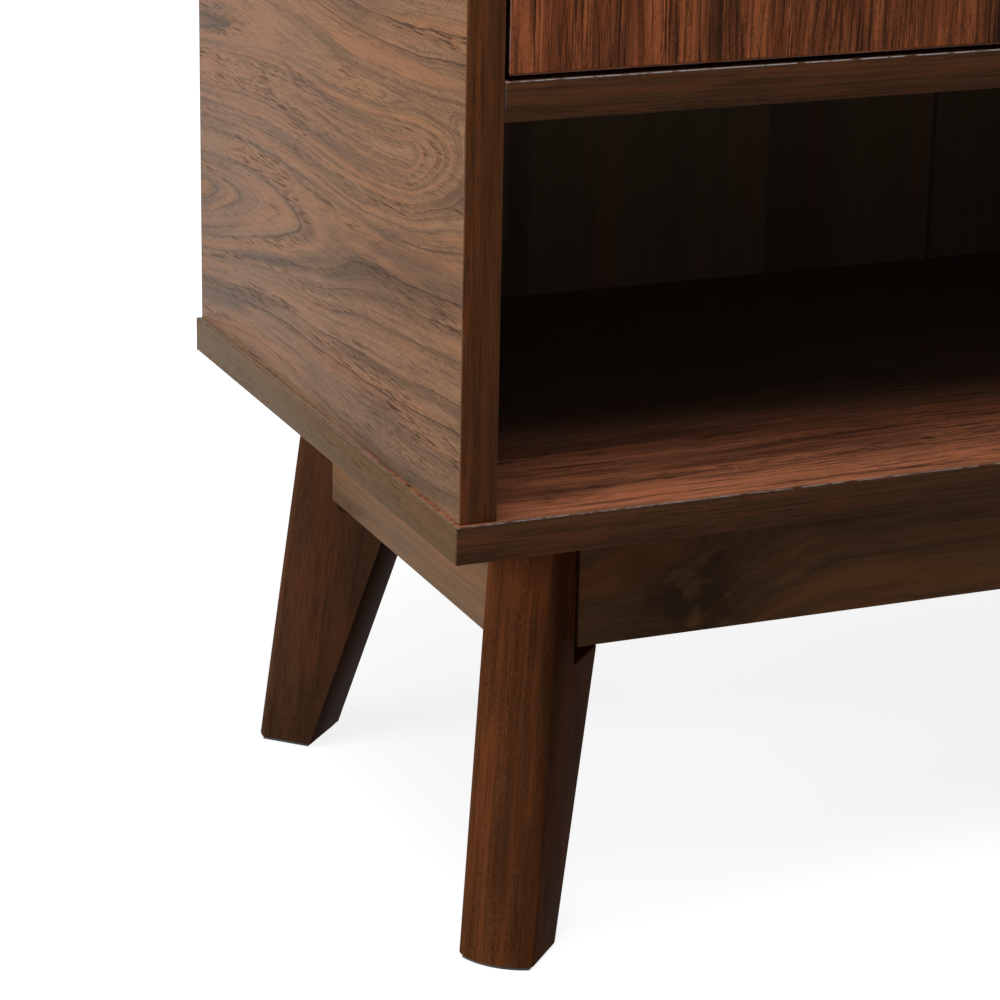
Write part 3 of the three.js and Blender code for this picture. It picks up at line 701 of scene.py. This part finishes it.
def glide_plastic():
    """Black nylon glide, scuffed underneath."""
    material, w, shader = new_material("glide_plastic", (0.03, 0.032, 0.036))
    place = w.put("TexCoord").outputs["Object"]
    scuff = w.put("TexNoise", {"Vector": place, "Scale": 420.0, "Detail": 4.0,
                               "Roughness": 0.7}).outputs["Fac"]
    colour = w.mix(w.ease(scuff, 0.5, 0.75), (0.026, 0.027, 0.030, 1), (0.085, 0.083, 0.080, 1))
    worn_and_highlit = use(w, ARRIS, {"Color": colour, "Place": place, "Rubbed And Highlit": (0.12, 0.115, 0.11, 1),
                          "Amount": 0.6})
    raised = w.put("Bump", {"Strength": 0.3, "Distance": 0.0002, "Height": scuff})
    w.fill(shader, {"Base Color": worn_and_highlit["Color"], "Normal": raised.outputs[0],
                    "Roughness": w.ease(scuff, 0.3, 0.7, 0.42, 0.62)})
    return material


# ---------------------------------------------------------------- boards and edge bands

ENDS = {"left": (0, 0), "right": (0, 1), "front": (1, 0), "rear": (1, 1), "lower": (2, 0),
        "upper": (2, 1)}


def banded_board(node, name, body, finish, band_finish, ends):
    """A faced board cut back for its edge bands. Each band covers the ends of the next ones."""
    low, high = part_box(node)
    piece = copy_of(node, name)
    left_low, left_high = low.copy(), high.copy()
    bands = []
    for end in ends:
        axis, upper = ENDS[end]
        band_low, band_high = left_low.copy(), left_high.copy()
        if upper:
            left_high[axis] -= BAND
            band_low[axis] = left_high[axis]
        else:
            left_low[axis] += BAND
            band_high[axis] = left_low[axis]
        bands.append((end, axis, upper, band_low, band_high))
        shift = Vector((0, 0, 0))
        shift[axis] = -BAND if upper else BAND
        with bench(piece):
            pick(piece, "VERT", lies_on(axis, (low, high)[upper][axis]))
            bpy.ops.transform.translate(value=shift)
    soften(piece, FOIL_ARRIS, outer_edge(left_low, left_high))
    smooth(piece)
    hand_over(piece, finish, body, "faced_board", node)
    for end, axis, upper, band_low, band_high in bands:
        band = block(f"{name}_{end}_band", band_low, band_high)
        soften(band, BAND_ARRIS, lies_on(axis, (band_low, band_high)[upper][axis]))
        smooth(band)
        hand_over(band, band_finish(end, band_low, band_high), body, "faced_board")


def band_walnut(tones, seed, lit_flank_tones=None, rubbed_and_highlit=0.7, underside=0.0, gap_shade_tone=None):
    """Finish for a band: the grain runs along its length, and its arrises are chipped pale, partly
    as a painted highlight.

    With lit flank tones, the left and right bands are calmer, paled less at their arrises, and
    painted lighter than the front one, for the light that falls on the sides.
    """
    def finish(end, low, high):
        size = high - low
        ways = sorted(((size[axis], way) for axis, way in enumerate((X, Y, Z))),
                      key=lambda pair: -pair[0])
        along, across = ways[0][1], ways[1][1]
        flank = lit_flank_tones is not None and end in ("left", "right")
        return walnut(f"band_walnut_{end}_{seed:g}", lit_flank_tones if flank else tones, along,
                      across, low, seed=seed + len(end), rubbed_and_highlit=0.3 if flank else rubbed_and_highlit,
                      rubbed_and_highlit_tone=CHIPPED_AND_HIGHLIT, underside=underside, gap_shade_tone=gap_shade_tone, bump=0.25,
                      **(CALM_BAND_FIGURE if flank else BAND_FIGURE))
    return finish


def build_cabinet():
    side_low, side_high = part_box("left_side_panel")
    corner = Vector((side_low.x, side_high.y, side_low.z))
    for side, seed, band_seed, figure in (("left", 21.55, 1.0, LEFT_SIDE_FIGURE),
                                          ("right", 26.3, 2.0, RIGHT_SIDE_FIGURE)):
        wood = walnut(f"{side}_side_walnut", SIDE_TONES, -Y, Z, corner, seed=seed, **figure)
        banded_board(f"{side}_side_panel", f"{side}_side_board", "cabinet", wood,
                     band_walnut(STILE_TONES, band_seed, rubbed_and_highlit=0.3), ("front", "rear"))

    # painted shade haze: the base's print turns grey towards the back of the open compartment
    for level, seed, tones, deep_shade_haze, figure in (
            ("top", 9.1, SIDE_TONES, None, TOP_FIGURE),
            ("base", 3.4, INNER_TONES, (-0.084, 0.000, 0.80), BASE_FIGURE)):
        node = f"{level}_panel"
        low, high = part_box(node)
        wood = walnut(f"{level}_board_walnut", tones, X, Y, low, seed=seed, deep_shade_haze=deep_shade_haze, **figure)
        banded_board(node, f"{level}_board", "cabinet", wood,
                     band_walnut(EDGE_TONES, seed, LIT_FLANK_TONES),
                     ("front", "rear", "left", "right"))

    low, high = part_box("drawer_shelf")
    wood = walnut("shelf_walnut", INNER_TONES, X, Y, low, seed=7.7, Tip=0.4)
    # painted highlight: the shelf's front band has its upper arris paled strongly
    banded_board("drawer_shelf", "shelf_board", "cabinet", wood,
                 band_walnut(EDGE_TONES, 5.0, rubbed_and_highlit=1.8), ("front",))

    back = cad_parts["back_panel"]
    back.data.materials.clear()
    back.data.materials.append(hardboard())


# ---------------------------------------------------------------- under-frame

def build_legs(zinc, plastic):
    """The legs, each with its glide, its corner block and the bolt that holds it there."""
    for end, along_sign in (("front", -1), ("rear", 1)):
        for side, across_sign in (("left", -1), ("right", 1)):
            corner = f"{end}_{side}"
            low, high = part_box(f"{corner}_leg")
            outwards = Vector((across_sign, along_sign, 0)).normalized()
            lean = (Z - LEG_LEAN * outwards).normalized()
            flank = outwards.cross(Z).normalized()
            foot = Vector((high.x if side == "right" else low.x,
                           high.y if end == "rear" else low.y, low.z))
            seed = 11.0 + 2.3 * (side == "right") + 4.1 * (end == "rear")
            tones = LEG_TONES if end == "front" else REAR_LEG_TONES
            wood = walnut(f"{corner}_leg_walnut", tones, lean, flank, foot, seed=seed,
                          bump=0.25, rubbed_and_highlit=0.15, gloss=0.002, **LEG_FIGURE)
            leg = copy_of(f"{corner}_leg", f"{corner}_leg_turned")
            soften(leg, LEG_ARRIS)
            smooth(leg)
            hand_over(leg, wood, "cabinet", "stained_wood", f"{corner}_leg")

            glide = copy_of(f"foot_glide_{corner}", f"{corner}_glide")
            soften(glide, THIN_ARRIS)
            smooth(glide)
            hand_over(glide, plastic, "cabinet", "glide", f"foot_glide_{corner}")

            low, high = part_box(f"corner_block_{corner}")
            pine = raw_wood(f"{corner}_block_pine", flank, Z, low, seed)
            brace = copy_of(f"corner_block_{corner}", f"{corner}_block")
            soften(brace, BLOCK_ARRIS,
                   lambda edge: is_sharp(edge) and edge.calc_length() > BORE_FACET)
            smooth(brace)
            hand_over(brace, pine, "cabinet", "raw_wood", f"corner_block_{corner}")

            bolt = copy_of(f"leg_bolt_{corner}", f"{corner}_bolt")
            soften(bolt, THIN_ARRIS,
                   lambda edge: is_sharp(edge) and edge.calc_length() > THREAD_FACET)
            smooth(bolt)
            hand_over(bolt, zinc, "cabinet", "zinc", f"leg_bolt_{corner}")


def build_aprons():
    """The rails between the legs. The front one has a knot near its left end."""
    knot_from_middle, knot_height = -0.1265, 0.0145
    for name, along, seed in (("front", X, 21.0), ("rear", X, 23.5),
                              ("left", -Y, 26.0), ("right", -Y, 28.5)):
        node = f"{name}_apron"
        low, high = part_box(node)
        start = low if along == X else Vector((low.x, high.y, low.z))
        tones = RAIL_TONES if along == X else END_RAIL_TONES
        knot, figure = None, APRON_FIGURE
        if name == "front":
            knot = (knot_from_middle - low.x, knot_height)
            figure = {**figure, "Heart": knot[1] + 0.004, "Heart Width": 0.016,
                      "Tip": knot[0] + 0.060, "Closing": 0.060, "Arch": 0.030}
        wood = walnut(f"{node}_walnut", tones, along, Z, start, seed=seed, knot=knot,
                      rubbed_and_highlit=0.3, gloss=0.02, **figure)
        apron = copy_of(node, f"{name}_rail")
        soften(apron, APRON_ARRIS)
        smooth(apron)
        hand_over(apron, wood, "cabinet", "stained_wood", node)


# ---------------------------------------------------------------- fittings

def turned(name, centre, axis, stations, sides=48):
    """A turned piece: a disc drawn out along an axis through its (reach, radius) stations."""
    first_reach, first_radius = stations[0]
    bpy.ops.object.select_all(action="DESELECT")
    bpy.ops.mesh.primitive_circle_add(vertices=sides, radius=first_radius, fill_type="NGON")
    piece = bpy.context.object
    piece.name = piece.data.name = name
    with bench(piece):
        bpy.ops.mesh.select_all(action="SELECT")
        bpy.ops.transform.translate(value=(0, 0, first_reach))
        radius, reach = first_radius, first_reach
        for next_reach, next_radius in stations[1:]:
            bpy.ops.mesh.extrude_region_move(
                TRANSFORM_OT_translate={"value": (0, 0, next_reach - reach)})
            bpy.ops.transform.resize(value=(next_radius / radius, next_radius / radius, 1))
            radius, reach = next_radius, next_reach
        bpy.ops.mesh.select_all(action="SELECT")
        bpy.ops.mesh.normals_make_consistent(inside=False)
    piece.rotation_mode = "QUATERNION"
    piece.rotation_quaternion = Vector(axis).to_track_quat("Z", "X")
    piece.location = centre
    settle(piece)
    return piece


def cross_recess(name, centre, axis, reach, width, depth):
    """A cross-shaped punch for a screw's drive."""
    half = Vector((reach, width / 2, depth))
    arm = block(name, -half, half)
    with bench(arm):
        bpy.ops.mesh.select_all(action="SELECT")
        bpy.ops.mesh.duplicate()
        bpy.ops.transform.rotate(value=math.pi / 2, orient_axis="Z", center_override=(0, 0, 0))
    arm.rotation_mode = "QUATERNION"
    arm.rotation_quaternion = Vector(axis).to_track_quat("Z", "X")
    arm.location = centre
    settle(arm)
    return arm


def build_cams(zinc):
    """Cam locks in the underside of the drawer shelf."""
    for end in ("front", "rear"):
        for side in ("left", "right"):
            node = f"cam_{end}_{side}"
            low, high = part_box(node)
            radius = (high.x - low.x) / 2
            centre = Vector(((low.x + high.x) / 2, (low.y + high.y) / 2, 0))
            height, rim, edge = high.z - low.z, 0.0009, 0.0004
            cam = turned(f"{end}_{side}_cam", centre + Z * high.z, -Z, [
                (0, radius - edge), (edge, radius), (height - edge, radius),
                (height, radius - edge), (height, radius - rim),
                (height - 0.0005, radius - rim - 0.0003)], sides=40)
            punch = cross_recess("punch", centre + Z * low.z, Z, radius * 0.55, 0.0016, 0.0035)
            cut_away(cam, punch)
            smooth(cam)
            hand_over(cam, zinc, "cabinet", "zinc", node)
            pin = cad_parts[f"cam_pin_{end}_{side}"]
            pin.data.materials.clear()
            pin.data.materials.append(zinc)


def build_knob(level, body, zinc):
    """A turned knob with a waisted neck, and its screw from inside the drawer."""
    low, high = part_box(f"{level}_knob")
    radius, length = (high.x - low.x) / 2, high.y - low.y
    centre = (low + high) / 2
    seat = Vector((centre.x, high.y, centre.z))
    rim = length * 0.62
    knob = turned(f"{level}_knob_turned", seat, -Y, [
        (0.0, 0.0078), (0.0006, 0.0080), (0.0020, 0.0074), (0.0040, 0.0070), (0.0065, 0.0071),
        (rim - 0.0040, 0.0080), (rim - 0.0024, 0.0098), (rim - 0.0012, 0.0122),
        (rim, radius - 0.0010), (rim + 0.0010, radius - 0.0003), (rim + 0.0024, radius),
        (rim + 0.0038, radius - 0.0004), (length - 0.0030, radius - 0.0014),
        (length - 0.0017, radius - 0.0030), (length - 0.0009, radius - 0.0052),
        (length - 0.0004, radius - 0.0082), (length - 0.0001, radius - 0.0112), (length, 0.0012)],
        sides=64)
    smooth(knob, 40)
    wood = walnut(f"{level}_knob_walnut", LEG_TONES, X, Z, low, seed=31.0 + len(level),
                  **KNOB_FIGURE)
    hand_over(knob, wood, body, "stained_wood", f"{level}_knob")

    low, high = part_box(f"{level}_knob_screw")
    head, shank, length = (high.x - low.x) / 2, 0.0020, high.y - low.y
    top = Vector((centre.x, high.y, centre.z))
    screw = turned(f"{level}_screw", top, -Y, [
        (0.0, head - 0.0014), (0.0002, head - 0.0008), (0.0007, head - 0.0002), (0.0012, head),
        (0.0024, head), (0.0024, shank), (length - 0.001, shank), (length, 0.0012)], sides=32)
    punch = cross_recess("punch", top, Y, 0.0021, 0.0009, 0.0014)
    cut_away(screw, punch)
    smooth(screw)
    hand_over(screw, zinc, body, "zinc", f"{level}_knob_screw")


def build_drawer(level, zinc, foil, seed):
    """A drawer's banded front, foiled box and knob, and its runners of three members each."""
    body = f"{level}_drawer"
    low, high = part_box(f"{level}_drawer_front")
    wood = walnut(f"{level}_front_walnut", FRONT_TONES, Z, X, low, seed=seed, **FRONT_FIGURE)
    # painted shade: the bands' narrow faces in the gaps round the front are darkened; their lower
    # arrises are paled, partly as a painted highlight
    banded_board(f"{level}_drawer_front", f"{level}_front_board", body, wood,
                 band_walnut(FRONT_TONES, seed + 1.5, rubbed_and_highlit=0.6, underside=0.8,
                             gap_shade_tone=rgb(34, 20, 13)), ("lower", "upper", "left", "right"))
    for part in ("left_side", "right_side", "back", "bottom"):
        node = f"{level}_drawer_{part}"
        board = copy_of(node, f"{level}_box_{part}")
        soften(board, THIN_ARRIS if part == "bottom" else BOX_ARRIS, outer_edge(*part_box(node)))
        smooth(board)
        hand_over(board, foil, body, "drawer_board", node)
    build_knob(level, body, zinc)
    for side in ("left", "right"):
        for member, rides in (("cabinet", "cabinet"), ("middle", f"{level}_middle_runners"),
                              ("drawer", body)):
            node = f"{level}_{side}_{member}_runner"
            channel = copy_of(node, f"{level}_{side}_{member}_channel")
            soften(channel, SHEET_ARRIS)
            smooth(channel)
            hand_over(channel, zinc, rides, "zinc", node)


# ---------------------------------------------------------------- room, light and camera

def seen_rays(w):
    """1 for rays that show the surround as such: straight, in gloss and through glass."""
    path = w.put("LightPath").outputs
    return w.math("MAXIMUM", path["Is Camera Ray"],
                  w.math("MAXIMUM", path["Is Glossy Ray"], path["Is Transmission Ray"]))


def build_room():
    """A plain pale floor and a white surround, which shows behind the cabinet and in gloss."""
    bpy.ops.object.select_all(action="DESELECT")
    bpy.ops.mesh.primitive_plane_add(size=12)
    floor = bpy.context.object
    floor.name = floor.data.name = "floor"
    material, w, shader = new_material("pale_floor", (0.5, 0.5, 0.5))
    w.fill(shader, {"Base Color": (0.24, 0.24, 0.24, 1), "Roughness": 0.9,
                    "Specular IOR Level": 0.0})
    seen = seen_rays(w)
    # the glow is a little weaker under the cabinet, so that its shadow shows
    reach = w.vector("LENGTH", w.put("TexCoord").outputs["Object"])
    level = w.ease(reach, 0.3, 1.0, 0.86, 1.0)
    glow = w.put("Emission", {"Color": (1, 1, 1, 1), "Strength": w.math("MULTIPLY", seen, level)})
    both = w.put("AddShader", {0: shader.outputs[0], 1: glow.outputs[0]})
    output = next(node for node in w.tree.nodes if node.bl_idname == "ShaderNodeOutputMaterial")
    w.tree.links.new(both.outputs[0], output.inputs["Surface"])
    floor.data.materials.append(material)

    world = bpy.data.worlds.new("surround")
    world.use_nodes = True
    bpy.context.scene.world = world
    world.node_tree.nodes.clear()
    w = Wires(world.node_tree)
    strength = w.math("MULTIPLY_ADD", seen_rays(w), 1.0 - SURROUND_LEVEL, SURROUND_LEVEL)
    sky = w.put("Background", {"Color": (1, 1, 1, 1), "Strength": strength})
    w.put("OutputWorld", {"Surface": sky.outputs[0]})


def lamp(name, towards, distance, size, level):
    """A square softbox; level is the brightness that it gives a white surface facing it."""
    data = bpy.data.lights.new(name, "AREA")
    data.shape = "SQUARE"
    data.size = size
    data.energy = level * math.pi * distance * distance * math.pi
    light = bpy.data.objects.new(name, data)
    bpy.context.scene.collection.objects.link(light)
    aim = (solid_low + solid_high) / 2
    way = Vector(towards).normalized()
    light.location = aim + way * distance
    light.rotation_mode = "QUATERNION"
    light.rotation_quaternion = way.to_track_quat("Z", "Y")


def build_light():
    lamp("overhead_softbox", towards=(-0.24, -0.31, 0.92), distance=2.6, size=1.5, level=1.12)
    lamp("left_softbox", towards=(-0.97, -0.06, 0.22), distance=2.8, size=1.6, level=0.76)


def build_camera():
    """Stands before the cabinet's left corner, as high as its top, and looks down a little."""
    data = bpy.data.cameras.new("camera")
    data.lens, data.sensor_width = 120.43, 36.0
    data.clip_start, data.clip_end = 0.05, 60.0
    camera = bpy.data.objects.new("camera", data)
    bpy.context.scene.collection.objects.link(camera)
    stand = Vector((-0.69952, -1.22719, 0.59977))
    right = Vector((0.920519, -0.390259, 0.018541))
    up = Vector((0.108054, 0.299902, 0.947831))
    back = Vector((-0.375460, -0.870492, 0.318235))
    camera.matrix_world = Matrix.LocRotScale(
        stand, Matrix((right, up, back)).transposed(), None)
    bpy.context.scene.camera = camera


def main():
    scene = bpy.context.scene
    scene.view_settings.view_transform = "Standard"
    zinc, foil, plastic = zinc_plate(), box_foil(), glide_plastic()
    build_cabinet()
    build_legs(zinc, plastic)
    build_aprons()
    build_cams(zinc)
    build_drawer("lower", zinc, foil, 15.167)
    build_drawer("upper", zinc, foil, 17.0)
    build_room()
    build_light()
    build_camera()


main()
bpy.context.view_layer.update()
